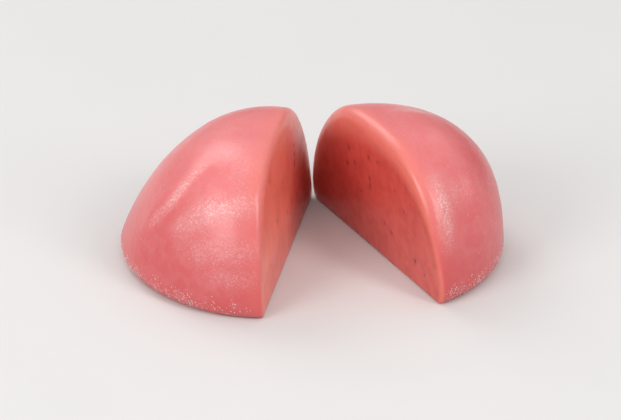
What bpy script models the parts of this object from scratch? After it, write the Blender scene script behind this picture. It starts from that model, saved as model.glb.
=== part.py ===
"""Mochi rice cake: a soft domed cake, cut in two with one stroke and opened like a book.

The whole cake is shaped first, as a dome with a flat base and a rolled-under bottom edge. One
slightly slanted knife plane, a little off the dome's centre, parts it. Each half is then turned
on the base about the back end of the cut, where the two halves still meet.

Metres, +Z up. The base is z = 0, and the opening between the halves faces -Y.
"""

import math
from dataclasses import dataclass

import bmesh
import bpy
from mathutils import Vector

# Driving dimensions of the whole cake
CAKE_HEIGHT = 0.0260
CUT_RADIUS = 0.0250         # outline radius along the cut, front and back
LEFT_RADIUS = 0.0264        # outline radius towards -X
RIGHT_RADIUS = 0.0280       # outline radius towards +X
WIDEST_HEIGHT = 0.0025      # height at which the wall is widest
ROLL_UNDER = 0.0015         # how far the bottom edge rolls in below that height

# The knife stroke and the opening
KNIFE_OFFSET = 0.0048       # the cut lies this far from the dome's centre, towards +X
KNIFE_SLANT = math.radians(3.5)
LEFT_TURN = math.radians(-10.7)
RIGHT_TURN = math.radians(28.5)
CREST_RADIUS = 0.0009       # rounding between the skin and the cut face
CONTACT_GAP = 0.00035       # clearance between the two crests at the back of the cut

# Mesh resolution
SIDES = 96
RINGS = 48
EDGE_RINGS = 5              # rings in the rolled-under bottom edge
CREST_STEPS = 4             # rings of faces in the crest's rounding

HALF_TURN = math.pi
RING_STEP = HALF_TURN / RINGS
EDGE_ANGLE = EDGE_RINGS * RING_STEP


@dataclass(frozen=True)
class Quarter:
    """The dome's form in one direction: its outline radius and three roundness powers.

    A power of 2 is an ellipse, a lower one is straighter and a higher one is squarer.
    """

    radius: float
    outline: float
    flank: float
    top: float


CUT_QUARTER = Quarter(CUT_RADIUS, outline=2.0, flank=3.3, top=1.5)
LEFT_QUARTER = Quarter(LEFT_RADIUS, outline=1.85, flank=2.55, top=1.15)
RIGHT_QUARTER = Quarter(RIGHT_RADIUS, outline=2.1, flank=3.3, top=2.6)


def rounded(value, power):
    """The signed superellipse coordinate of a sine or a cosine."""
    return math.copysign(abs(value) ** (2.0 / power), value)


def dome_point(direction):
    """Lay a direction on the unit sphere out on the cake's dome and rolled-under edge."""
    side = LEFT_QUARTER if direction.x < 0.0 else RIGHT_QUARTER
    flat = math.hypot(direction.x, direction.y)
    cosine, sine = (direction.x / flat, direction.y / flat) if flat > 1e-9 else (1.0, 0.0)
    outline = Vector((side.radius * rounded(cosine, side.outline),
                      CUT_RADIUS * rounded(sine, side.outline)))
    reach = outline.length
    rise = math.asin(max(-1.0, min(1.0, direction.z)))
    if rise < 0.0:
        roll = min(1.0, -rise / EDGE_ANGLE) * HALF_TURN / 2.0
        reach -= ROLL_UNDER * (1.0 - math.cos(roll))
        height = WIDEST_HEIGHT * (1.0 - math.sin(roll))
    else:
        blend = cosine ** 2
        flank = CUT_QUARTER.flank + (side.flank - CUT_QUARTER.flank) * blend
        top = CUT_QUARTER.top + (side.top - CUT_QUARTER.top) * blend
        reach *= rounded(math.cos(rise), flank)
        height = WIDEST_HEIGHT + (CAKE_HEIGHT - WIDEST_HEIGHT) * rounded(math.sin(rise), top)
    outline.normalize()
    return Vector((outline.x * reach, outline.y * reach, height))


def slice_and_fill(mesh, point, normal):
    """Keep the side of a plane that its normal points to, and close the cut with one face."""
    everything = mesh.verts[:] + mesh.edges[:] + mesh.faces[:]
    bmesh.ops.bisect_plane(mesh, geom=everything, dist=1e-7, plane_co=point, plane_no=normal,
                           clear_inner=True)
    open_edges = [edge for edge in mesh.edges if edge.is_boundary]
    bmesh.ops.holes_fill(mesh, edges=open_edges)


def whole_cake():
    """The uncut cake as one closed mesh, with a flat base."""
    mesh = bmesh.new()
    bmesh.ops.create_uvsphere(mesh, u_segments=SIDES, v_segments=RINGS, radius=1.0)
    base_level = Vector((0.0, 0.0, -math.sin(EDGE_ANGLE)))
    slice_and_fill(mesh, base_level, Vector((0.0, 0.0, 1.0)))
    for vert in mesh.verts:
        vert.co = dome_point(vert.co.normalized())
    return mesh


def knife_normal():
    """The knife plane's normal, which points to the right half."""
    return Vector((math.cos(KNIFE_SLANT), 0.0, math.sin(KNIFE_SLANT)))


def hinge_point():
    """The back end of the cut on the base, about which both halves turn."""
    share = KNIFE_OFFSET / RIGHT_RADIUS
    return Vector((KNIFE_OFFSET, CUT_RADIUS * math.sqrt(1.0 - share ** 2), 0.0))


def shift_apart():
    """How far each half moves off its cut plane, so that the two rounded crests just clear."""
    half_opening = (RIGHT_TURN - LEFT_TURN) / 2.0
    rounding_gap = CREST_RADIUS * (math.cos(half_opening) + math.sin(half_opening) - 1.0)
    return CONTACT_GAP / 2.0 - rounding_gap


def round_crest(mesh, point, normal):
    """Roll the skin in over a quarter circle where the knife plane will leave the crest."""
    turns = [step / CREST_STEPS * HALF_TURN / 2.0 for step in range(CREST_STEPS + 1)]
    for turn in turns:
        depth = CREST_RADIUS * (1.0 - math.cos(turn))
        everything = mesh.verts[:] + mesh.edges[:] + mesh.faces[:]
        bmesh.ops.bisect_plane(mesh, geom=everything, dist=1e-7,
                               plane_co=point + normal * depth, plane_no=normal)
    mesh.normal_update()
    moves = []
    for vert in mesh.verts:
        depth = (vert.co - point).dot(normal)
        if -1e-7 <= depth < CREST_RADIUS:
            inwards = vert.normal.dot(normal) * normal - vert.normal
            if vert.co.z < WIDEST_HEIGHT:
                inwards.z = 0.0
            short = CREST_RADIUS - max(0.0, depth)
            roll = CREST_RADIUS - math.sqrt(CREST_RADIUS ** 2 - short ** 2)
            moves.append((vert, inwards.normalized() * roll))
    for vert, move in moves:
        vert.co += move


def dough_material(name, colour, roughness):
    material = bpy.data.materials.new(name)
    material.use_nodes = True
    shader = material.node_tree.nodes["Principled BSDF"]
    shader.inputs["Base Color"].default_value = (*colour, 1.0)
    shader.inputs["Roughness"].default_value = roughness
    shader.inputs["Metallic"].default_value = 0.0
    return material


def make_half(name, side, turn, colour, collection):
    """One half of the cake. side is -1 for the left half and 1 for the right one."""
    mesh = whole_cake()
    normal = knife_normal() * side
    knife_point = Vector((KNIFE_OFFSET, 0.0, 0.0))
    round_crest(mesh, knife_point, normal)
    slice_and_fill(mesh, knife_point, normal)
    bmesh.ops.translate(mesh, verts=mesh.verts, vec=-hinge_point())
    bmesh.ops.recalc_face_normals(mesh, faces=mesh.faces)

    data = bpy.data.meshes.new(name)
    mesh.to_mesh(data)
    mesh.free()
    data.shade_smooth()
    data.set_sharp_from_angle(angle=math.radians(40.0))
    data.materials.append(dough_material(name + "_dough", colour, roughness=0.45))
    half = bpy.data.objects.new(name, data)
    collection.objects.link(half)
    half.location = Vector((math.cos(turn), math.sin(turn), 0.0)) * (side * shift_apart())
    half.rotation_euler = (0.0, 0.0, turn)
    return half


def centre_on_base(halves, collection):
    """Put the middle of the cake's bounding box over the origin, under one parent empty."""
    bpy.context.view_layer.update()
    corners = [half.matrix_world @ vert.co for half in halves for vert in half.data.vertices]
    middle = [(min(c[axis] for c in corners) + max(c[axis] for c in corners)) / 2.0
              for axis in range(2)]
    plate_point = bpy.data.objects.new("mochi_base_point", None)
    plate_point.empty_display_size = 0.01
    plate_point.location = (-middle[0], -middle[1], 0.0)
    collection.objects.link(plate_point)
    for half in halves:
        half.parent = plate_point


def main():
    for leftover in list(bpy.data.objects):
        bpy.data.objects.remove(leftover, do_unlink=True)
    collection = bpy.data.collections.new("mochi_rice_cake")
    bpy.context.scene.collection.children.link(collection)
    halves = [
        make_half("half_left", -1, LEFT_TURN, (0.72, 0.22, 0.21), collection),
        make_half("half_right", 1, RIGHT_TURN, (0.72, 0.22, 0.20), collection),
    ]
    centre_on_base(halves, collection)


main()
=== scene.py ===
"""Looks of a mochi rice cake that is cut in two and opened like a book.

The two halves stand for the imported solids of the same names. Each starts as a sphere that is
laid out on the cake's dome, is parted by the knife plane, gets its soft skin, crest and cut
face, and is then turned open about the back end of the cut.
"""

import math

import bpy
import numpy as np
from mathutils import Matrix, Vector, kdtree, noise


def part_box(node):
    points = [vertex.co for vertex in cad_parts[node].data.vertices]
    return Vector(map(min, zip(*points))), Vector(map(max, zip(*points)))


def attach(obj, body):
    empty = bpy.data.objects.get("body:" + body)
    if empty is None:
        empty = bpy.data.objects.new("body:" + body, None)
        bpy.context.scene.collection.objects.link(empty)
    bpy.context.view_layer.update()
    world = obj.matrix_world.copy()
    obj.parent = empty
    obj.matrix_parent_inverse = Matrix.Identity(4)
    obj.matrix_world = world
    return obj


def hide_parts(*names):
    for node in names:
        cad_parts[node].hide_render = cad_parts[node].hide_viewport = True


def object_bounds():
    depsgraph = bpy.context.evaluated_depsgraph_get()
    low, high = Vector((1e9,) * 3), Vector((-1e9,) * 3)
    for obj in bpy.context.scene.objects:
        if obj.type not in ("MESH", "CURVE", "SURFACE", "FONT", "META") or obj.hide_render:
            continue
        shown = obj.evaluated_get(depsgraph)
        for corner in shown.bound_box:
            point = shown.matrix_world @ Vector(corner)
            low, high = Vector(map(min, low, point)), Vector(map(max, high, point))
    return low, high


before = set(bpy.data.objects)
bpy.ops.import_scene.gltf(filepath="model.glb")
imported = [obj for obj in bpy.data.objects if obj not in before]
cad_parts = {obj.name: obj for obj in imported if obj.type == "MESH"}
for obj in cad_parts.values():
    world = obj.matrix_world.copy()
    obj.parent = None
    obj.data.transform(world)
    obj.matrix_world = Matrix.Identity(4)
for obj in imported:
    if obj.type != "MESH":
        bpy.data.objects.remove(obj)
CAD_LOW, CAD_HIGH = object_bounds()

bl_info = {
    "name": "Cut Mochi Rice Cake",
    "version": (1, 0, 0),
    "blender": (4, 5, 0),
    "location": "View3D > Sidebar > Mochi",
    "description": "Makes a pink mochi rice cake, cut in two and opened, with its starch powder",
    "category": "Add Mesh",
}

BODY = "root"
MM = 0.001
SIDES = {"half_left": -1, "half_right": 1}


# ---------------------------------------------------------------- settings

def length(name, description, default):
    return bpy.props.FloatProperty(name=name, description=description, default=default,
                                   precision=5, subtype="DISTANCE", unit="LENGTH")


def angle(name, description, degrees):
    return bpy.props.FloatProperty(name=name, description=description,
                                   default=math.radians(degrees), subtype="ANGLE",
                                   unit="ROTATION")


def power(name, description, default):
    return bpy.props.FloatProperty(name=name, description=description, default=default,
                                   min=0.5, max=8.0)


def colour(name, description, default):
    return bpy.props.FloatVectorProperty(name=name, description=description, default=default,
                                         size=3, min=0.0, max=1.0, subtype="COLOR")


class MochiShape(bpy.types.PropertyGroup):
    """The cake's dome, the knife stroke and the opening of the halves."""

    height: length("Height", "Height of the whole cake", CAD_HIGH.z)
    cut_radius: length("Cut radius", "Outline radius along the cut", 25.0 * MM)
    left_radius: length("Left radius", "Outline radius towards the larger half", 26.4 * MM)
    right_radius: length("Right radius", "Outline radius towards the smaller half", 28.0 * MM)
    widest_height: length("Widest height", "Height at which the wall is widest", 2.5 * MM)
    roll_under: length("Roll under", "How far the bottom edge rolls in", 1.5 * MM)
    cut_flank: power("Cut flank", "Roundness of the flank at the cut", 3.3)
    cut_top: power("Cut top", "Roundness of the top at the cut", 1.5)
    left_outline: power("Left outline", "Roundness of the larger half's outline", 1.85)
    left_flank: power("Left flank", "Roundness of the larger half's flank", 2.55)
    left_top: power("Left top", "Roundness of the larger half's top", 1.15)
    right_outline: power("Right outline", "Roundness of the smaller half's outline", 2.1)
    right_flank: power("Right flank", "Roundness of the smaller half's flank", 3.3)
    right_top: power("Right top", "Roundness of the smaller half's top", 2.6)
    knife_offset: length("Knife offset", "Distance of the cut from the dome's centre", 4.8 * MM)
    knife_slant: angle("Knife slant", "Lean of the knife plane", 3.5)
    left_turn: angle("Left turn", "How far the larger half is turned open", -10.7)
    right_turn: angle("Right turn", "How far the smaller half is turned open", 28.5)
    crest_radius: length("Crest radius", "Rounding between skin and cut face", 0.9 * MM)
    detail: length("Detail", "Spacing of the finished mesh", 0.27 * MM)


class MochiFinish(bpy.types.PropertyGroup):
    """Colours of the dough, its skin, the flecks and the powder, and of the painted shade,
    highlight, glow and light on the dough.
    """

    skin: colour("Skin", "Pink skin of the cake", (0.80, 0.195, 0.20))
    skin_deep: colour("Deep skin", "Deeper patches of the skin", (0.77, 0.165, 0.17))
    # Low skin: denser skin low on the walls, partly painted shade there; on the right flank it is
    # painted shade only.
    low_skin_and_painted_shade: colour("Low skin", "Denser skin low on the wall", (0.64, 0.088, 0.094))
    bloom: colour("Bloom", "Thin film of starch on the skin", (0.86, 0.47, 0.48))
    # Frost: a frost of starch on the swells, and painted highlight where the soft lights fall on
    # them.
    frost_and_painted_highlight: colour("Frost", "Thicker frost of starch on the swells", (0.96, 0.64, 0.63))
    # Crest: painted glow of light shining through the thin dough at the crest and along the rim of
    # the cut.
    crest_glow: colour("Crest", "Thin dough at the crest", (0.80, 0.215, 0.166))
    cut: colour("Cut face", "Bare dough of the cut face", (0.64, 0.099, 0.079))
    cut_deep: colour("Deep cut face", "Denser dough of the cut face", (0.50, 0.058, 0.043))
    # Smear: painted light and sheen on the front of the larger half's cut face, brighter towards
    # the front and higher up.
    painted_front_light: colour("Smear", "Starch that the knife smeared over a cut face", (0.95, 0.215, 0.155))
    fleck: colour("Fleck", "Dark flecks in the dough", (0.26, 0.018, 0.012))
    powder: colour("Powder", "Grains of starch powder", (0.91, 0.70, 0.68))


class MochiPowder(bpy.types.PropertyGroup):
    """Grains of starch powder that cling to the skin."""

    grains: bpy.props.IntProperty(name="Grains", description="Number of grains on each half",
                                  default=1300, min=0, max=4000)
    smallest: length("Smallest", "Radius of the smallest grain", 0.045 * MM)
    largest: length("Largest", "Radius of the largest grain", 0.14 * MM)
    seed: bpy.props.IntProperty(name="Seed", description="Start of the random draw", default=7)


class MochiStage(bpy.types.PropertyGroup):
    """Camera and light."""

    elevation: angle("Elevation", "Height of the camera above the horizon", 28.3)
    distance: length("Distance", "Distance from the camera to the cake", 0.897)
    lens: bpy.props.FloatProperty(name="Lens", description="Focal length in millimetres",
                                  default=283.0, min=20.0, max=600.0)
    floor: colour("Floor", "Pale floor", (0.72, 0.71, 0.70))


# ---------------------------------------------------------------- small helpers

def deselect_all():
    if bpy.context.object and bpy.context.object.mode != "OBJECT":
        bpy.ops.object.mode_set(mode="OBJECT")
    bpy.ops.object.select_all(action="DESELECT")


def make_active(piece):
    deselect_all()
    piece.select_set(True)
    bpy.context.view_layer.objects.active = piece


def smoothstep(low, high, value):
    share = np.clip((value - low) / (high - low), 0.0, 1.0)
    return share * share * (3.0 - 2.0 * share)


def mesh_points(mesh):
    points = np.empty(len(mesh.vertices) * 3)
    mesh.vertices.foreach_get("co", points)
    return points.reshape(-1, 3)


def mesh_normals(mesh):
    normals = np.empty(len(mesh.vertices) * 3)
    mesh.vertex_normals.foreach_get("vector", normals)
    return normals.reshape(-1, 3)


def set_points(mesh, points):
    mesh.vertices.foreach_set("co", points.astype(np.float32).ravel())
    mesh.update()


def stored_values(mesh, name):
    """The single value that a named attribute holds at each vertex."""
    values = np.empty(len(mesh.vertices))
    mesh.attributes[name].data.foreach_get("value", values)
    return values


def stored_places(mesh):
    """Each vertex's place in the uncut cake, in millimetres."""
    places = np.empty(len(mesh.vertices) * 3)
    mesh.attributes["place_mm"].data.foreach_get("vector", places)
    return places.reshape(-1, 3)


# Step in the noise from one seed to the next
SEED_STEP = Vector((13.1, 7.7, 3.3))
NOISE_ROUGHNESS = 1.0
NOISE_LACUNARITY = 2.0
NOISE_OCTAVES = 2


def noise_at(points, wavelength, seed):
    """Smooth noise from about -1 to 1 at each point, with a wavelength in millimetres."""
    shift = SEED_STEP * seed
    scaled = points / (wavelength * MM)
    return np.array([noise.fractal(Vector(point) + shift, NOISE_ROUGHNESS, NOISE_LACUNARITY,
                                   NOISE_OCTAVES) for point in scaled])


# ---------------------------------------------------------------- the dome

# Mesh of the whole cake: faces round it, and rings from pole to pole and below the widest height
ROUND_FACES = 256
RINGS = 160
EDGE_RINGS = 20
EDGE_ANGLE = EDGE_RINGS * math.pi / RINGS
TINY = 1e-9                 # keeps a length that is divided by above zero


def rounded(value, roundness):
    """The signed superellipse coordinate of a sine or a cosine."""
    return np.copysign(np.abs(value) ** (2.0 / roundness), value)


def lay_on_dome(directions, shape):
    """Lay directions on the unit sphere out on the cake's dome and rolled-under edge."""
    x, y, z = directions.T
    flat = np.maximum(np.hypot(x, y), TINY)
    cosine, sine = x / flat, y / flat
    left = x < 0.0
    radius = np.where(left, shape.left_radius, shape.right_radius)
    outline = np.where(left, shape.left_outline, shape.right_outline)
    across = radius * rounded(cosine, outline)
    along = shape.cut_radius * rounded(sine, outline)
    outline_reach = np.maximum(np.hypot(across, along), TINY)

    blend = cosine ** 2
    side_flank = np.where(left, shape.left_flank, shape.right_flank)
    side_top = np.where(left, shape.left_top, shape.right_top)
    flank = shape.cut_flank + (side_flank - shape.cut_flank) * blend
    top = shape.cut_top + (side_top - shape.cut_top) * blend

    rise = np.arcsin(np.clip(z, -1.0, 1.0))
    roll = np.clip(-rise / EDGE_ANGLE, 0.0, 1.0) * math.pi / 2.0
    lift = np.maximum(rise, 0.0)
    reach = outline_reach * np.cos(lift) ** (2.0 / flank)
    reach -= shape.roll_under * (1.0 - np.cos(roll))
    height = shape.widest_height * (1.0 - np.sin(roll))
    height += (shape.height - shape.widest_height) * np.sin(lift) ** (2.0 / top)
    scale = reach / outline_reach
    return np.column_stack((across * scale, along * scale, height))


def knife_point(shape):
    """A point of the knife plane, on the base."""
    return Vector((shape.knife_offset, 0.0, 0.0))


def knife_normal(shape):
    """The knife plane's normal, which points to the smaller half."""
    return Vector((math.cos(shape.knife_slant), 0.0, math.sin(shape.knife_slant)))


def knife_depth(points, shape):
    """Distance of each point from the knife plane."""
    return np.abs((points - np.array(knife_point(shape))) @ np.array(knife_normal(shape)))


def whole_cake(name, shape):
    """The uncut cake: a sphere with a flat base, laid out on the dome."""
    deselect_all()
    bpy.ops.mesh.primitive_uv_sphere_add(segments=ROUND_FACES, ring_count=RINGS, radius=1.0)
    piece = bpy.context.object
    piece.name = name
    bpy.ops.object.mode_set(mode="EDIT")
    bpy.ops.mesh.select_all(action="SELECT")
    bpy.ops.mesh.bisect(plane_co=(0.0, 0.0, -math.sin(EDGE_ANGLE)), plane_no=(0.0, 0.0, 1.0),
                        use_fill=True, clear_inner=True)
    bpy.ops.object.mode_set(mode="OBJECT")
    points = mesh_points(piece.data)
    directions = points / np.linalg.norm(points, axis=1)[:, None]
    set_points(piece.data, lay_on_dome(directions, shape))
    return piece


def cut_in_two(piece, side, shape):
    """Part the cake with the knife plane and keep one side of it, closed by its cut face."""
    make_active(piece)
    bpy.ops.object.mode_set(mode="EDIT")
    bpy.ops.mesh.select_all(action="SELECT")
    bpy.ops.mesh.bisect(plane_co=knife_point(shape), plane_no=knife_normal(shape) * side,
                        use_fill=True, clear_inner=True)
    bpy.ops.mesh.select_all(action="SELECT")
    bpy.ops.mesh.remove_doubles(threshold=1e-6)
    bpy.ops.mesh.normals_make_consistent(inside=False)
    bpy.ops.object.mode_set(mode="OBJECT")


# Extra rounding of the crest near the top of each half, and the heights over which it grows,
# in millimetres
TOP_ROUNDING = {-1: 0.6, 1: 1.7}
ROUNDING_FROM, ROUNDING_TO = 6.0, 23.0
CREST_STEPS = 8
BASE_LEVEL = 0.05           # below this height in millimetres a point belongs to the base
BASE_SHARE = 0.5            # share of the crest's rounding that the base's corner gets


def round_crest(piece, side, shape):
    """Roll the edge between skin and cut face over a quarter circle that grows to the top."""
    normal = knife_normal(shape) * side
    start = knife_point(shape)
    widest = shape.crest_radius + TOP_ROUNDING[side] * MM
    make_active(piece)
    bpy.ops.object.mode_set(mode="EDIT")
    for step in range(1, CREST_STEPS + 1):
        depth = widest * (1.0 - math.cos(step / CREST_STEPS * math.pi / 2.0))
        bpy.ops.mesh.select_all(action="SELECT")
        bpy.ops.mesh.bisect(plane_co=start + normal * depth, plane_no=normal)
    bpy.ops.object.mode_set(mode="OBJECT")

    points = mesh_points(piece.data)
    across = np.array(normal)
    depth = np.maximum((points - np.array(start)) @ across, 0.0)
    height = points[:, 2] / MM
    growth = smoothstep(ROUNDING_FROM, ROUNDING_TO, height)
    radius = shape.crest_radius + TOP_ROUNDING[side] * MM * growth
    inwards = -mesh_normals(piece.data)
    inwards -= (inwards @ across)[:, None] * across
    inwards[points[:, 2] < shape.widest_height, 2] = 0.0
    inwards /= np.maximum(np.linalg.norm(inwards, axis=1), TINY)[:, None]
    gap = np.clip(radius - depth, 0.0, None)
    drop = radius - np.sqrt(radius ** 2 - gap ** 2)
    drop[height < BASE_LEVEL] *= BASE_SHARE
    set_points(piece.data, points + inwards * drop[:, None])


def even_mesh(piece, shape):
    """Lay an even fine mesh over the half, which every later relief is worked into."""
    make_active(piece)
    remesh = piece.modifiers.new("even", "REMESH")
    remesh.mode = "VOXEL"
    remesh.voxel_size = shape.detail
    bpy.ops.object.modifier_apply(modifier=remesh.name)


SKIN_ROUNDS = 5             # rounds of smoothing all over, which clear the steps of the remesh
CREST_ROUNDS = 10           # and more of them along the crest


def relax(piece, weights, rounds):
    """Smooth the mesh where the weights say so."""
    group = piece.vertex_groups.new(name="relaxed")
    for index in np.flatnonzero(weights > 0.01):
        group.add([int(index)], float(weights[index]), "REPLACE")
    make_active(piece)
    smooth = piece.modifiers.new("relax", "SMOOTH")
    smooth.factor = 0.5
    smooth.iterations = rounds
    smooth.vertex_group = group.name
    bpy.ops.object.modifier_apply(modifier=smooth.name)
    piece.vertex_groups.clear()


def relax_all(piece):
    """Relax the whole mesh but its base."""
    relax(piece, smoothstep(0.3, 1.2, mesh_points(piece.data)[:, 2] / MM), SKIN_ROUNDS)


def soften_crest(piece, shape):
    """Relax the mesh along the crest, so that skin and cut face run into each other."""
    points = mesh_points(piece.data)
    near = 1.0 - smoothstep(1.5, 4.0, knife_depth(points, shape) / shape.crest_radius)
    relax(piece, near * smoothstep(0.2, 1.2, points[:, 2] / MM), CREST_ROUNDS)


# ---------------------------------------------------------------- relief

def along_path(points, path, width):
    """Nearness to a path: each stop's strength on it, falling to 0 over the width."""
    nearest = np.full(len(points), np.inf)
    strength = np.zeros(len(points))
    for start, end in zip(path, path[1:]):
        first, last = np.array(start[:3]) * MM, np.array(end[:3]) * MM
        run = last - first
        share = np.clip((points - first) @ run / (run @ run), 0.0, 1.0)
        gap = np.linalg.norm(points - first - share[:, None] * run, axis=1)
        closer = gap < nearest
        nearest = np.where(closer, gap, nearest)
        strength = np.where(closer, start[3] + (end[3] - start[3]) * share, strength)
    return strength * np.exp(-(nearest / (width * MM)) ** 2)


# Folds and swells of the skin: stops (x, y, z in millimetres of the uncut cake, height in
# millimetres) and the width of the form
SKIN_FORMS = {
    -1: (
        ([(-20.8, -12.2, 6.5, 0.0), (-18.2, -12.2, 12.7, 0.30), (-14.7, -12.6, 17.1, 0.32),
          (-12.3, -11.3, 20.5, 0.28), (-9.9, -9.9, 22.9, 0.16), (-6.0, -7.6, 24.8, 0.0)], 2.0),
        ([(-19.0, -15.4, 5.5, 0.0), (-16.2, -15.1, 11.8, -0.38), (-13.6, -15.4, 15.0, -0.48),
          (-10.8, -14.5, 18.9, -0.44), (-7.8, -14.0, 21.4, -0.30), (-4.0, -14.0, 22.9, -0.20),
          (1.0, -13.8, 23.9, 0.0)], 2.6),
        ([(-10.5, -18.3, 14.0, 0.34), (-6.0, -17.8, 18.6, 0.52), (0.5, -17.5, 20.6, 0.34)], 3.4),
        ([(-2.5, -22.0, 11.0, 0.10), (0.0, -21.4, 14.0, 0.20)], 3.4),
        ([(1.6, -11.0, 24.8, 0.0), (2.4, -14.0, 23.4, 0.08), (3.2, -19.0, 18.6, 0.08),
          (3.8, -22.5, 12.0, 0.0)], 0.7),
    ),
    1: (
        ([(8.2, -14.5, 22.6, 0.0), (7.8, -17.4, 20.2, 0.24), (7.6, -20.0, 16.6, 0.28),
          (6.8, -22.0, 13.0, 0.10), (6.8, -23.0, 9.0, 0.0)], 1.6),
        ([(12.0, -14.0, 21.0, 0.0), (12.0, -17.4, 17.6, -0.24), (11.6, -20.6, 12.0, -0.10),
          (12.0, -22.0, 7.0, 0.0)], 2.0),
        ([(16.7, -16.0, 16.6, 0.18), (18.5, -14.0, 14.0, 0.10)], 3.0),
    ),
}


# Frost of starch and painted highlight on the skin: stops as above, with a share from 0 to 1
FROST_AND_PAINTED_HIGHLIGHT = {
    -1: (
        ([(-19.5, -13.6, 9.5, 0.0), (-17.5, -13.4, 12.6, 0.6), (-14.4, -13.7, 16.4, 0.9),
          (-11.8, -12.5, 20.0, 1.0), (-9.3, -11.1, 22.6, 0.9), (-7.0, -10.4, 23.9, 0.2)], 0.9),
        ([(-11.2, -18.2, 14.2, 0.6), (-6.0, -18.2, 18.3, 0.9), (0.2, -18.4, 19.8, 0.7)], 2.5),
        ([(-8.0, -21.3, 11.5, 0.35), (-3.0, -22.4, 12.0, 0.5), (2.6, -22.3, 12.6, 0.4)], 2.8),
        ([(-5.0, -8.0, 25.0, 0.2), (-1.0, -12.0, 24.4, 0.35), (0.8, -15.5, 22.6, 0.2)], 3.0),
        ([(-6.5, -23.0, 8.5, 0.2), (-1.5, -24.2, 7.6, 0.45), (2.5, -24.0, 8.2, 0.3)], 2.4),
    ),
    1: (
        ([(7.6, -16.4, 21.4, 0.5), (7.9, -18.2, 19.2, 1.0), (7.7, -20.0, 16.4, 1.0),
          (7.2, -21.4, 13.8, 0.8), (6.8, -22.4, 11.0, 0.3)], 1.7),
        ([(11.0, -17.6, 18.5, 0.4), (14.0, -16.5, 18.0, 0.4), (16.0, -15.8, 17.0, 0.15)], 2.2),
        ([(10.5, 4.6, 25.5, 0.2), (14.5, 4.4, 24.6, 1.0), (18.0, 3.2, 23.2, 0.4)], 1.4),
    ),
}


# Seeds of the noise in the frost and painted highlight, the painted front light, the flecks and the
# clumps of powder
FROST_AND_HIGHLIGHT_SEED = 81
FRONT_LIGHT_SEED = 71
FLECK_SEED = 60
CLUMP_SEED = 41


def frost_and_highlight_share(places, side):
    """How much frost of starch and painted highlight lies on each point of the skin."""
    share = np.zeros(len(places))
    for path, width in FROST_AND_PAINTED_HIGHLIGHT[side]:
        share = np.maximum(share, along_path(places, path, width))
    return np.clip(share * (1.0 + 0.3 * noise_at(places, 2.5, FROST_AND_HIGHLIGHT_SEED)), 0.0, 1.0)


SKIN_DEPTH = 0.6 * MM       # deeper behind the knife plane than this, a point is not on the cut
SKIN_FLOOR = 0.3 * MM       # lower than this, it is on the base


def skin_reach(places, depth):
    """Distance from each point of the cut face to the skin, in millimetres; 0 on the skin."""
    skin = np.flatnonzero((depth > SKIN_DEPTH) & (places[:, 2] > SKIN_FLOOR))
    tree = kdtree.KDTree(len(skin))
    for index in skin:
        tree.insert(places[index], int(index))
    tree.balance()
    reach = np.zeros(len(places))
    for index in np.flatnonzero(depth <= SKIN_DEPTH):
        reach[index] = tree.find(places[index])[2] / MM
    return reach


# Unevenness of the skin and of the cut face: height and wavelength in millimetres, and seed
SKIN_NOISE = ((0.13, 15.0, 1), (0.028, 4.6, 4), (0.007, 1.2, 9))
CUT_NOISE = ((0.085, 8.0, 25), (0.020, 2.4, 27), (0.008, 0.9, 29))
DRAG_NOISE = ((0.016, 1.6, 21),)
DRAG_STRETCH = np.array((1.0, 1.0, 0.16))
PIT_DEPTH = 0.10            # depth in millimetres of the pit that holds a fleck


def unevenness(points, waves, side):
    """Sum of the waves of noise at each point, in millimetres."""
    height = np.zeros(len(points))
    for strength, wavelength, seed in waves:
        height += strength * noise_at(points, wavelength, seed + side)
    return height


def skin_relief(points, side):
    """Height of the soft swells, folds and pores of the skin, in metres."""
    height = unevenness(points, SKIN_NOISE, side)
    for path, width in SKIN_FORMS[side]:
        height += along_path(points, path, width)
    return height * MM


HINGE_SWELL = 0.11 * MM     # how far the dough spreads at the back, where the halves all but touch


def hinge_swell(points, depth):
    """Height of the soft dough that spreads where the halves still touch, in metres."""
    behind = smoothstep(17.0, 21.5, points[:, 1] / MM)
    return HINGE_SWELL * behind * (1.0 - smoothstep(1.0, 2.2, depth / MM))


def near_flecks(points, flecks, spread):
    """How near each point is to a fleck: 1 in its middle, falling to 0 outside it."""
    near = np.zeros(len(points))
    for along, up, radius in flecks:
        strength = smoothstep(0.04, 0.26, radius)
        gap = np.hypot(points[:, 1] / MM - along, (points[:, 2] / MM - up) * 0.9)
        close = np.flatnonzero(gap < radius * spread * 4.0)
        gap = gap[close] * (1.0 + 0.45 * noise_at(points[close], 0.8, FLECK_SEED))
        near[close] = np.maximum(near[close], strength * np.exp(-(gap / (radius * spread)) ** 2))
    return near


def cut_relief(points, side, flecks):
    """Height of the knife's drag lines and of the small pits that hold the flecks, in metres."""
    height = unevenness(points * DRAG_STRETCH, DRAG_NOISE, side)
    height += unevenness(points, CUT_NOISE, side)
    height -= PIT_DEPTH * near_flecks(points, flecks, 1.4)
    return height * MM


def add_relief(piece, side, shape, flecks):
    """Raise the relief. Gives the points before and after it, and their depth and reach."""
    points = mesh_points(piece.data)
    normals = mesh_normals(piece.data)
    depth = knife_depth(points, shape)
    reach = skin_reach(points, depth)
    above_base = smoothstep(0.4 * MM, 2.5 * MM, points[:, 2])
    relief = skin_relief(points, side) * smoothstep(0.2, 2.2, depth / MM)
    relief += cut_relief(points, side, flecks) * smoothstep(0.7, 2.4, reach)
    relief *= above_base
    relief += hinge_swell(points, depth)
    return points, points + normals * relief[:, None], depth, reach


# Width in millimetres of the painted glow and light along the rim of the cut: all along on the
# larger half; on the smaller one at the front, and what it gains towards the top and the back,
# where light passes over the larger half
LARGER_RIM_GLOW = 4.5
SMALLER_RIM_GLOW = 1.7
RIM_GLOW_AT_TOP = 3.2
RIM_GLOW_AT_BACK = 2.2


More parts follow.
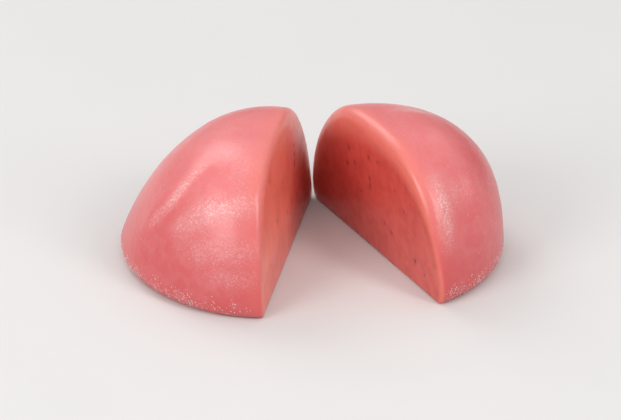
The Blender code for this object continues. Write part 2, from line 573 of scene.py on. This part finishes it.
def rim_glow_share(places, side, reach):
    """How far each point of the cut gets the painted glow and light along its rim next to the skin.
    """
    width = np.full(len(places), LARGER_RIM_GLOW)
    if side > 0:
        width = SMALLER_RIM_GLOW + RIM_GLOW_AT_TOP * smoothstep(12.0, 24.0, places[:, 2] / MM)
        width += RIM_GLOW_AT_BACK * smoothstep(-2.0, 12.0, places[:, 1] / MM)
    return 1.0 - smoothstep(0.20, 1.0, reach / width)


def painted_front_light_share(places, side):
    """How much painted light and sheen lies on each point of the cut; only the larger half's front
    has it.
    """
    if side > 0:
        return np.zeros(len(places))
    front = smoothstep(19.0, -2.0, places[:, 1] / MM)
    front *= 0.55 + 0.45 * smoothstep(3.0, 11.0, places[:, 2] / MM)
    return np.clip(front * (0.95 + 0.5 * noise_at(places, 7.0, FRONT_LIGHT_SEED)), 0.0, 1.0)


def cut_share(side, depth, reach):
    """How far each point shows the bare dough of the cut face and not the skin."""
    share = 1.0 - smoothstep(0.15, 0.9, depth / MM)
    if side < 0:
        share *= smoothstep(0.2, 1.8, reach)
    return share


def crest_glow_share(places, side, depth):
    """How much painted glow of light through the thin dough lies behind the crest, most of all near
    the top.
    """
    height = places[:, 2] / MM
    if side > 0:
        share = 0.65 * (1.0 - smoothstep(0.6, 4.5, depth / MM))
        return share * smoothstep(6.0, 22.0, height)
    share = 0.6 * (1.0 - smoothstep(0.4, 5.0, depth / MM))
    return share * (0.3 + 0.7 * smoothstep(14.0, 23.0, height))


def store_places(piece, side, places, depth, reach, flecks):
    """Keep each vertex's place in the uncut cake, its depth behind the cut, and the masks."""
    attributes = piece.data.attributes
    place = attributes.new("place_mm", "FLOAT_VECTOR", "POINT")
    place.data.foreach_set("vector", (places / MM).astype(np.float32).ravel())
    stain = near_flecks(places, flecks, 1.3) * (1.0 - smoothstep(0.3, 0.9, depth / MM))
    masks = {
        "depth_mm": depth / MM,
        "cut": cut_share(side, depth, reach),
        "crest_glow": crest_glow_share(places, side, depth),
        "rim_glow": rim_glow_share(places, side, reach),
        "stain": stain,
        "painted_front_light": painted_front_light_share(places, side),
        "frost_and_painted_highlight": frost_and_highlight_share(places, side),
    }
    for name, values in masks.items():
        layer = attributes.new(name, "FLOAT", "POINT")
        layer.data.foreach_set("value", values.astype(np.float32))


def hinge_point(shape):
    """The back end of the cut on the base, about which both halves turn."""
    share = shape.knife_offset / shape.right_radius
    return Vector((shape.knife_offset, shape.cut_radius * math.sqrt(1.0 - share ** 2), 0.0))


def open_half(piece, node, turn, shape):
    """Turn the half open about the back end of the cut and stand it where its solid stands."""
    mesh = piece.data
    hinge = hinge_point(shape)
    mesh.transform(Matrix.Rotation(turn, 4, "Z") @ Matrix.Translation(-hinge))
    points = mesh_points(mesh)
    low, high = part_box(node)
    middle = (points.min(axis=0) + points.max(axis=0)) / 2.0
    shift = (low + high) / 2.0 - Vector(middle)
    shift.z = low.z - points[:, 2].min()
    mesh.transform(Matrix.Translation(shift))


# Flecks on each cut face: place along the cut and height in millimetres, and radius
FLECKS = {
    "half_left": [(10.9, 17.3, 0.30), (10.8, 15.6, 0.34), (10.7, 13.6, 0.28), (-11.0, 21.2, 0.22),
                  (-7.1, 11.1, 0.34), (-7.5, 16.6, 0.20), (2.5, 8.0, 0.22), (-14.5, 6.0, 0.20)],
    "half_right": [(1.1, 19.0, 0.30), (-2.3, 19.6, 0.22), (1.0, 14.6, 0.34), (1.1, 13.0, 0.30),
                   (8.6, 17.5, 0.32), (9.4, 14.1, 0.34), (6.5, 15.5, 0.28), (-11.7, 13.8, 0.24),
                   (-6.5, 6.8, 0.30), (-4.2, 7.7, 0.26), (-15.3, 5.1, 0.46), (-18.6, 3.8, 0.26),
                   (-8.5, 16.5, 0.20), (4.5, 10.5, 0.22), (-13.2, 10.0, 0.18)],
}


# Fainter flecks: how many each cut face has, and the radius in millimetres of the half disc
# that they keep to
FAINT_FLECKS = 26
FAINT_SEED = 30
FAINT_REACH = 22.0


def faint_flecks(side):
    """Fainter flecks that are scattered over the rest of the cut face."""
    random = np.random.default_rng(FAINT_SEED + side)
    spots = []
    while len(spots) < FAINT_FLECKS:
        along, up = random.uniform(-20.0, 20.0), random.uniform(1.5, 23.0)
        radius = random.uniform(0.08, 0.17)
        if math.hypot(along, up) < FAINT_REACH:
            spots.append((along, up, radius))
    return spots


def make_half(name, turn, context):
    """Make one half from the whole cake and put it in the place of its solid."""
    shape = context.scene.mochi_shape
    side = SIDES[name]
    piece = whole_cake("mochi_" + name, shape)
    cut_in_two(piece, side, shape)
    round_crest(piece, side, shape)
    even_mesh(piece, shape)
    relax_all(piece)
    soften_crest(piece, shape)
    flecks = FLECKS[name] + faint_flecks(side)
    places, relieved, depth, reach = add_relief(piece, side, shape, flecks)
    store_places(piece, side, places, depth, reach, flecks)
    set_points(piece.data, relieved)
    open_half(piece, name, turn, shape)
    piece.data.shade_smooth()
    piece.data.materials.clear()
    piece.data.materials.append(dough_material(context.scene.mochi_finish))
    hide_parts(name)
    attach(piece, BODY)
    return piece


# ---------------------------------------------------------------- materials

class Nodes:
    """A short way to add and join nodes of one tree."""

    def __init__(self, tree):
        self.tree = tree

    def add(self, kind, inputs=(), **settings):
        node = self.tree.nodes.new(kind)
        for key, value in settings.items():
            setattr(node, key, value)
        for key, value in dict(inputs).items():
            socket = node.inputs[key]
            if isinstance(value, bpy.types.NodeSocket):
                self.tree.links.new(value, socket)
            else:
                socket.default_value = value
        return node

    def math(self, operation, first, second=0.0, third=0.0):
        node = self.add("ShaderNodeMath", {0: first, 1: second, 2: third}, operation=operation)
        return node.outputs[0]

    def mix(self, share, first, second):
        """Mix of two colours: all of the first at share 0, all of the second at share 1."""
        node = self.add("ShaderNodeMix", data_type="RGBA")
        for number, value in ((0, share), (6, first), (7, second)):
            socket = node.inputs[number]
            if isinstance(value, bpy.types.NodeSocket):
                self.tree.links.new(value, socket)
            else:
                socket.default_value = value
        return node.outputs[2]

    def mask(self, name):
        """The value of a piece's own named attribute."""
        return self.add("ShaderNodeAttribute", attribute_name=name).outputs["Fac"]

    def fade(self, value, low, high, start=0.0, end=1.0):
        """A smooth step from start to end as the value goes from low to high."""
        node = self.add("ShaderNodeMapRange", {"Value": value, "From Min": low, "From Max": high,
                                               "To Min": start, "To Max": end},
                        interpolation_type="SMOOTHSTEP")
        return node.outputs["Result"]

    def group(self, name, inputs):
        node = self.add("ShaderNodeGroup", node_tree=GROUPS[name]())
        for key, value in inputs.items():
            if isinstance(value, bpy.types.NodeSocket):
                self.tree.links.new(value, node.inputs[key])
            else:
                node.inputs[key].default_value = value
        return node


def rgba(values):
    return (values[0], values[1], values[2], 1.0)


def new_group(name, inputs, outputs):
    """An empty node group with named sockets, and its input and output nodes."""
    tree = bpy.data.node_groups.new(name, "ShaderNodeTree")
    for key, kind, default in inputs:
        socket = tree.interface.new_socket(key, in_out="INPUT", socket_type=kind)
        if default is not None:
            socket.default_value = default
    for key, kind in outputs:
        tree.interface.new_socket(key, in_out="OUTPUT", socket_type=kind)
    return tree, tree.nodes.new("NodeGroupInput"), tree.nodes.new("NodeGroupOutput")


def mottle_group():
    """Soft uneven patches: a mask from 0 to 1."""
    name = "mochi_mottle"
    if name in bpy.data.node_groups:
        return bpy.data.node_groups[name]
    tree, given, result = new_group(
        name,
        [("Vector", "NodeSocketVector", None), ("Scale", "NodeSocketFloat", 0.1),
         ("Low", "NodeSocketFloat", 0.35), ("High", "NodeSocketFloat", 0.65),
         ("Roughness", "NodeSocketFloat", 0.5)],
        [("Mask", "NodeSocketFloat")])
    nodes = Nodes(tree)
    patches = nodes.add("ShaderNodeTexNoise", {"Vector": given.outputs["Vector"],
                                               "Scale": given.outputs["Scale"],
                                               "Roughness": given.outputs["Roughness"],
                                               "Detail": 3.0})
    mask = nodes.fade(patches.outputs["Fac"], given.outputs["Low"], given.outputs["High"])
    tree.links.new(mask, result.inputs["Mask"])
    return tree


def grain_group():
    """Fine grain of a dry or waxy surface: a height from 0 to 1."""
    name = "mochi_grain"
    if name in bpy.data.node_groups:
        return bpy.data.node_groups[name]
    tree, given, result = new_group(
        name,
        [("Vector", "NodeSocketVector", None), ("Scale", "NodeSocketFloat", 2.0)],
        [("Height", "NodeSocketFloat")])
    nodes = Nodes(tree)
    fine = nodes.add("ShaderNodeTexNoise", {"Vector": given.outputs["Vector"],
                                            "Scale": given.outputs["Scale"],
                                            "Detail": 2.0, "Roughness": 0.6})
    cells = nodes.add("ShaderNodeTexVoronoi", {"Vector": given.outputs["Vector"],
                                               "Scale": given.outputs["Scale"]},
                      feature="SMOOTH_F1")
    height = nodes.math("MULTIPLY", fine.outputs["Fac"], 0.6)
    height = nodes.math("ADD", height, nodes.math("MULTIPLY", cells.outputs["Distance"], 0.4))
    tree.links.new(height, result.inputs["Height"])
    return tree


GROUPS = {"mottle": mottle_group, "grain": grain_group}


def new_material(name):
    """A new material, its nodes and its shader."""
    material = bpy.data.materials.new(name)
    material.use_nodes = True
    nodes = Nodes(material.node_tree)
    return material, nodes, material.node_tree.nodes["Principled BSDF"]


# The dough's finish: its roughness, the depth of its fine grain in metres, how far light
# spreads in it, and the waxy coat of its skin
SMOOTHEST = 0.32
ROUGHNESS_SPREAD = 0.08
DOUGH_GRAIN = 0.00012
DOUGH_SHADER = {
    "Subsurface Weight": 0.5,
    "Subsurface Radius": (1.0, 0.30, 0.22),
    "Subsurface Scale": 0.0020,
    "IOR": 1.42,
    "Coat Weight": 0.40,
    "Coat Roughness": 0.27,
}


def dough_material(finish):
    """Waxy pink skin with painted shade low on it, frost with painted highlight and painted glow at
    the crest, and the bare salmon-red dough of the cut face with painted light at its rim and
    front.
    """
    name = "mochi_dough"
    if name in bpy.data.materials:
        return bpy.data.materials[name]
    material, nodes, shader = new_material(name)
    tree = material.node_tree
    place = nodes.add("ShaderNodeAttribute", attribute_name="place_mm").outputs["Vector"]
    frost_and_highlight_mask, on_cut = nodes.mask("frost_and_painted_highlight"), nodes.mask("cut")
    wide = nodes.group("mottle", {"Vector": place, "Scale": 0.10, "Low": 0.35, "High": 0.68})
    small = nodes.group("mottle", {"Vector": place, "Scale": 0.42, "Low": 0.38, "High": 0.70})
    film = nodes.group("mottle", {"Vector": place, "Scale": 2.4, "Low": 0.55, "High": 0.75,
                                  "Roughness": 0.75})

    axes = nodes.add("ShaderNodeSeparateXYZ", {0: place})
    # Painted shade: the low skin colour grows towards the bottom of the walls, partly denser skin
    # and partly painted shade, and towards the right flank, where it is painted shade only.
    low = nodes.fade(axes.outputs["Z"], 4.0, 21.0, 0.9, 0.0)
    low = nodes.math("MAXIMUM", low, nodes.fade(axes.outputs["X"], 13.0, 23.0, 0.0, 1.0))
    skin = nodes.mix(wide.outputs[0], rgba(finish.skin), rgba(finish.skin_deep))
    skin = nodes.mix(low, skin, rgba(finish.low_skin_and_painted_shade))
    bloom = nodes.math("MULTIPLY", small.outputs[0], 0.10)
    bloom = nodes.math("ADD", bloom, nodes.math("MULTIPLY", film.outputs[0], 0.10))
    bloom = nodes.math("MULTIPLY", bloom, nodes.fade(nodes.mask("depth_mm"), 1.5, 7.0, 0.15, 1.0))
    # Painted highlight: the frost mask, broken into fine grain, whitens the skin where the soft
    # lights fall on the swells; partly a real frost of starch.
    specks = nodes.group("mottle", {"Vector": place, "Scale": 2.6, "Low": 0.48, "High": 0.64,
                                    "Roughness": 0.7})
    frost_and_sparkle_grain = nodes.math("MULTIPLY_ADD", specks.outputs[0], 0.55, 0.24)
    skin = nodes.mix(bloom, skin, rgba(finish.bloom))
    skin = nodes.mix(nodes.math("MULTIPLY", frost_and_highlight_mask, frost_and_sparkle_grain), skin, rgba(finish.frost_and_painted_highlight))
    # Painted glow of light through the thin dough behind the crest.
    skin = nodes.mix(nodes.mask("crest_glow"), skin, rgba(finish.crest_glow))

    drag_place = nodes.add("ShaderNodeMapping", {"Vector": place, "Scale": (1.0, 1.0, 0.22)})
    drag = nodes.group("mottle", {"Vector": drag_place.outputs[0], "Scale": 0.55, "Low": 0.35,
                                  "High": 0.70})
    cut = nodes.mix(nodes.math("MULTIPLY", drag.outputs[0], 0.3), rgba(finish.cut),
                    rgba(finish.cut_deep))
    cut = nodes.mix(nodes.math("MULTIPLY", small.outputs[0], 0.5), cut, rgba(finish.cut_deep))
    # Painted light and sheen on the front of the larger half's cut face.
    cut = nodes.mix(nodes.mask("painted_front_light"), cut, rgba(finish.painted_front_light))
    # Painted glow and light along the rim of the cut.
    cut = nodes.mix(nodes.math("MULTIPLY", nodes.mask("rim_glow"), 0.75), cut, rgba(finish.crest_glow))
    cut = nodes.mix(nodes.math("MULTIPLY", nodes.mask("stain"), 0.85), cut, rgba(finish.fleck))
    tree.links.new(nodes.mix(on_cut, skin, cut), shader.inputs["Base Color"])

    roughness = nodes.math("MULTIPLY", small.outputs[0], ROUGHNESS_SPREAD)
    roughness = nodes.math("ADD", roughness, SMOOTHEST)
    tree.links.new(roughness, shader.inputs["Roughness"])

    grain = nodes.group("grain", {"Vector": place, "Scale": 2.2})
    pores = nodes.group("mottle", {"Vector": place, "Scale": 1.1, "Low": 0.3, "High": 0.7})
    skin_height = nodes.math("MULTIPLY_ADD", pores.outputs[0], 0.5, grain.outputs[0])
    skin_height = nodes.math("MULTIPLY", skin_height, nodes.math("MULTIPLY_ADD", frost_and_highlight_mask, 0.7, 0.4))
    cut_height = nodes.math("MULTIPLY", nodes.add(
        "ShaderNodeTexNoise", {"Vector": drag_place.outputs[0], "Scale": 2.0}).outputs["Fac"], 0.35)
    cut_height = nodes.math("MULTIPLY_ADD", grain.outputs[0], 0.3, cut_height)
    height = nodes.add("ShaderNodeMix", {0: on_cut, 2: skin_height, 3: cut_height})
    bump = nodes.add("ShaderNodeBump", {"Height": height.outputs[0], "Strength": 1.0,
                                        "Distance": DOUGH_GRAIN})
    tree.links.new(bump.outputs[0], shader.inputs["Normal"])

    for socket, value in DOUGH_SHADER.items():
        shader.inputs[socket].default_value = value
    return material


PLAIN_GRAIN = 0.00005       # depth of a plain material's grain, in metres


def plain_material(name, base, roughness, grain_scale, evenness=0.72):
    """A matt material with fine grain, with patches that are darker by the evenness."""
    material, nodes, shader = new_material(name)
    tree = material.node_tree
    place = nodes.add("ShaderNodeTexCoord").outputs["Object"]
    patches = nodes.group("mottle", {"Vector": place, "Scale": grain_scale})
    deep = tuple(evenness * value for value in base)
    surface = nodes.mix(patches.outputs[0], rgba(base), rgba(deep))
    tree.links.new(surface, shader.inputs["Base Color"])
    grain = nodes.group("grain", {"Vector": place, "Scale": grain_scale * 3.0})
    bump = nodes.add("ShaderNodeBump", {"Height": grain.outputs[0], "Strength": 0.3,
                                        "Distance": PLAIN_GRAIN})
    tree.links.new(bump.outputs[0], shader.inputs["Normal"])
    shader.inputs["Roughness"].default_value = roughness
    return material


# ---------------------------------------------------------------- flecks and powder

LUMP_TURN = 2.399           # turn in radians from one copy of a lump to the next
LUMP_WIDTH = 0.8            # width of a lump for each unit of its length
LUMP_KINDS = 4              # different lumps that the copies take turns with


def joined_copies(name, seeds, spots, shader):
    """One mesh of many small lumps. A spot is a place, a normal, a radius and a flatness."""
    points, faces = [], []
    count = 0
    for number, (place, normal, radius, flat) in enumerate(spots):
        lump_points, lump_faces = seeds[number % len(seeds)]
        turn = normal.to_track_quat("Z", "Y").to_matrix()
        spin = Matrix.Rotation(number * LUMP_TURN, 3, "Z")
        stretch = Matrix.Diagonal((radius, radius * LUMP_WIDTH, radius * flat))
        placed = lump_points @ np.array(turn @ spin @ stretch).T + np.array(place)
        points.append(placed)
        faces.extend([tuple(corner + count for corner in face) for face in lump_faces])
        count += len(lump_points)
    mesh = bpy.data.meshes.new(name)
    mesh.from_pydata(np.concatenate(points).tolist(), [], faces)
    mesh.shade_smooth()
    mesh.materials.append(shader)
    piece = bpy.data.objects.new(name, mesh)
    bpy.context.scene.collection.objects.link(piece)
    return piece


def lump_seeds(random, subdivisions, spread):
    """A few uneven lumps of unit size, which the many copies are made from."""
    seeds = []
    for _ in range(LUMP_KINDS):
        deselect_all()
        bpy.ops.mesh.primitive_ico_sphere_add(subdivisions=subdivisions, radius=1.0)
        lump = bpy.context.object
        points = mesh_points(lump.data)
        points *= 1.0 + spread * random.uniform(-1.0, 1.0, len(points))[:, None]
        faces = [tuple(face.vertices) for face in lump.data.polygons]
        seeds.append((points, faces))
        bpy.data.objects.remove(lump, do_unlink=True)
    return seeds


def nearest_on(mesh, target):
    """The vertex of a half whose place in the uncut cake is nearest to the target."""
    return int(np.argmin(np.linalg.norm(stored_places(mesh) - np.array(target), axis=1)))


FLECK_DRAW = 11
FLECK_SINK = 0.10           # how deep a fleck's middle lies, how wide and how flat its lump is,
FLECK_WIDTH = 0.55          # all as shares of its radius
FLECK_FLATNESS = 0.35


def make_flecks(context):
    """Lay a flat dark lump into the pit of each fleck."""
    shape = context.scene.mochi_shape
    random = np.random.default_rng(FLECK_DRAW)
    slope = math.tan(shape.knife_slant)
    spots = []
    for name in SIDES:
        mesh = bpy.data.objects["mochi_" + name].data
        normals = mesh_normals(mesh)
        for along, up, radius in FLECKS[name]:
            target = (shape.knife_offset / MM - up * slope, along, up)
            index = nearest_on(mesh, target)
            normal = Vector(normals[index])
            place = mesh.vertices[index].co - normal * (radius * FLECK_SINK * MM)
            spots.append((place, normal, radius * FLECK_WIDTH * MM, FLECK_FLATNESS))
    seeds = lump_seeds(random, 2, 0.16)
    shader = plain_material("mochi_fleck", context.scene.mochi_finish.fleck, 0.75, 900.0)
    piece = joined_copies("mochi_flecks", seeds, spots, shader)
    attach(piece, BODY)


BAND_HEIGHT, BAND_WIDTH = 1.9, 1.1      # the band of grains along the bottom edge, in millimetres
CLUMP_SIZE = 3.5                        # wavelength of the clumps, in millimetres
BAND_EVEN = 0.15                        # share of the band's grains that lie outside clumps
ON_CLUMPS, ON_FROST_AND_HIGHLIGHT, ON_SKIN = 0.004, 0.05, 0.003   # density away from the band


def powder_density(places, depth, frost_and_painted_highlight, side):
    """Where grains cling: along the bottom edge, on the frost and thinly on all the skin."""
    band = np.exp(-((places[:, 2] - BAND_HEIGHT) / BAND_WIDTH) ** 2)
    clumps = smoothstep(-0.1, 0.5, noise_at(places * MM, CLUMP_SIZE, CLUMP_SEED + side))
    density = band * (BAND_EVEN + (1.0 - BAND_EVEN) * clumps)
    density += ON_CLUMPS * clumps + ON_FROST_AND_HIGHLIGHT * frost_and_painted_highlight + ON_SKIN
    density *= smoothstep(0.8, 2.2, depth)
    density *= smoothstep(0.25, 0.9, places[:, 2])
    return density


SMALL_GRAINS = 1.6          # power that makes small grains commoner than large ones
HIGH_GRAINS = 0.35          # how much smaller the grains above the bottom band are
GRAIN_JITTER = 0.08 * MM    # how far a grain may lie from its vertex
GRAIN_LIFT = 0.25           # how far its middle stands out, and how flat it is,
GRAIN_FLATNESS = 0.75       # both as shares of its radius


def make_powder(context):
    """Scatter the grains over both halves, where the density says that they cling."""
    powder = context.scene.mochi_powder
    random = np.random.default_rng(powder.seed)
    spots = []
    for name, side in SIDES.items():
        mesh = bpy.data.objects["mochi_" + name].data
        places = stored_places(mesh)
        density = powder_density(places, stored_values(mesh, "depth_mm"),
                                 stored_values(mesh, "frost_and_painted_highlight"), side)
        chosen = random.choice(len(places), size=powder.grains, replace=False,
                               p=density / density.sum())
        points, normals = mesh_points(mesh), mesh_normals(mesh)
        spread = random.random(len(chosen)) ** SMALL_GRAINS
        sizes = powder.smallest + (powder.largest - powder.smallest) * spread
        sizes *= 1.0 - HIGH_GRAINS * smoothstep(3.5, 5.0, places[chosen, 2])
        jitter = random.normal(0.0, GRAIN_JITTER, (len(chosen), 3))
        for index, radius, shift in zip(chosen, sizes, jitter):
            normal = Vector(normals[index])
            slide = Vector(shift) - normal * Vector(shift).dot(normal)
            place = Vector(points[index]) + slide + normal * radius * GRAIN_LIFT
            spots.append((place, normal, float(radius), GRAIN_FLATNESS))
    seeds = lump_seeds(random, 1, 0.18)
    shader = plain_material("mochi_powder", context.scene.mochi_finish.powder, 0.85, 1500.0)
    piece = joined_copies("mochi_powder", seeds, spots, shader)
    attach(piece, BODY)


# ---------------------------------------------------------------- stage

def add_softbox(name, direction, distance, size, watts):
    """A soft light of the given width and height that looks at the cake."""
    place = Vector(direction).normalized() * distance
    bpy.ops.object.light_add(type="AREA", location=place)
    light = bpy.context.object
    light.name = name
    light.data.shape = "ELLIPSE"
    light.data.size, light.data.size_y = size
    light.data.energy = watts
    light.rotation_euler = place.to_track_quat("Z", "Y").to_euler()
    return light


# Soft lights: name, direction from the cake, distance and size in metres, power in watts
LIGHTS = (
    ("softbox_left", (-0.66, -0.58, 0.48), 0.80, (0.44, 0.40), 2.4),
    ("softbox_right", (0.66, -0.50, 0.60), 0.80, (0.20, 0.54), 1.9),
    ("softbox_back", (-0.50, 0.70, 0.75), 0.90, (0.50, 0.50), 1.6),
)
HORIZON_STRENGTH = 0.18
ZENITH_STRENGTH = 0.84
SKY_TOP = 0.8               # height on the unit sky from which on it is as bright as the zenith
FLOOR_SIZE = 6.0
CAMERA_AIM = Vector((-0.0003, 0.0, 0.0092))
CAMERA_SIDE = -0.0017       # how far the camera stands to the side, for each unit of distance
SENSOR_WIDTH = 36.0


def make_stage(context):
    """Set up the floor, the soft lights, the sky and the camera."""
    stage = context.scene.mochi_stage
    deselect_all()
    bpy.ops.mesh.primitive_plane_add(size=FLOOR_SIZE, location=(0.0, 0.0, 0.0))
    floor = bpy.context.object
    floor.name = "floor"
    floor.data.materials.append(plain_material("pale_floor", stage.floor, 0.6, 30.0, 0.99))

    for light in LIGHTS:
        add_softbox(*light)

    world = bpy.data.worlds.new("studio")
    context.scene.world = world
    world.use_nodes = True
    nodes = Nodes(world.node_tree)
    up = nodes.add("ShaderNodeTexCoord").outputs["Generated"]
    up = nodes.add("ShaderNodeSeparateXYZ", {0: up}).outputs["Z"]
    strength = nodes.fade(up, 0.0, SKY_TOP, HORIZON_STRENGTH, ZENITH_STRENGTH)
    sky = world.node_tree.nodes["Background"]
    world.node_tree.links.new(strength, sky.inputs["Strength"])
    sky.inputs["Color"].default_value = (1.0, 1.0, 1.0, 1.0)

    back = Vector((CAMERA_SIDE, -math.cos(stage.elevation), math.sin(stage.elevation)))
    back.normalize()
    bpy.ops.object.camera_add(location=CAMERA_AIM + back * stage.distance)
    camera = bpy.context.object
    camera.rotation_euler = back.to_track_quat("Z", "Y").to_euler()
    camera.data.lens = stage.lens
    camera.data.sensor_width = SENSOR_WIDTH
    camera.data.clip_start = 0.01
    context.scene.camera = camera
    context.scene.view_settings.view_transform = "Standard"


# ---------------------------------------------------------------- operators and panel

class MOCHI_OT_halves(bpy.types.Operator):
    """Make the two halves of the cake, from the whole dome to the relief of the cut faces"""

    bl_idname = "mochi.halves"
    bl_label = "Halves"

    def execute(self, context):
        shape = context.scene.mochi_shape
        make_half("half_left", shape.left_turn, context)
        make_half("half_right", shape.right_turn, context)
        return {"FINISHED"}


class MOCHI_OT_flecks(bpy.types.Operator):
    """Set the dark flecks into the pits of the cut faces"""

    bl_idname = "mochi.flecks"
    bl_label = "Flecks"

    def execute(self, context):
        make_flecks(context)
        return {"FINISHED"}


class MOCHI_OT_powder(bpy.types.Operator):
    """Scatter the grains of starch powder that cling to the skin"""

    bl_idname = "mochi.powder"
    bl_label = "Starch powder"

    def execute(self, context):
        make_powder(context)
        return {"FINISHED"}


class MOCHI_OT_stage(bpy.types.Operator):
    """Set up the pale floor, the soft lights and the camera"""

    bl_idname = "mochi.stage"
    bl_label = "Stage"

    def execute(self, context):
        make_stage(context)
        return {"FINISHED"}


OPERATORS = (MOCHI_OT_stage, MOCHI_OT_halves, MOCHI_OT_flecks, MOCHI_OT_powder)
SETTINGS = {
    "mochi_shape": MochiShape,
    "mochi_finish": MochiFinish,
    "mochi_powder": MochiPowder,
    "mochi_stage": MochiStage,
}


class MOCHI_PT_sidebar(bpy.types.Panel):
    """Lists the cake's operators and settings"""

    bl_idname = "MOCHI_PT_sidebar"
    bl_label = "Mochi rice cake"
    bl_space_type = "VIEW_3D"
    bl_region_type = "UI"
    bl_category = "Mochi"

    def draw(self, context):
        for operator in OPERATORS:
            self.layout.operator(operator.bl_idname)
        for name in SETTINGS:
            box = self.layout.box()
            settings = getattr(context.scene, name)
            for key in settings.__annotations__:
                box.prop(settings, key)


def register():
    for group in SETTINGS.values():
        bpy.utils.register_class(group)
    for name, group in SETTINGS.items():
        setattr(bpy.types.Scene, name, bpy.props.PointerProperty(type=group))
    for operator in OPERATORS:
        bpy.utils.register_class(operator)
    bpy.utils.register_class(MOCHI_PT_sidebar)


def unregister():
    bpy.utils.unregister_class(MOCHI_PT_sidebar)
    for operator in reversed(OPERATORS):
        bpy.utils.unregister_class(operator)
    for name, group in SETTINGS.items():
        delattr(bpy.types.Scene, name)
        bpy.utils.unregister_class(group)


def main():
    register()
    bpy.ops.mochi.stage()
    bpy.ops.mochi.halves()
    bpy.ops.mochi.flecks()
    bpy.ops.mochi.powder()


if __name__ == "__main__":
    main()
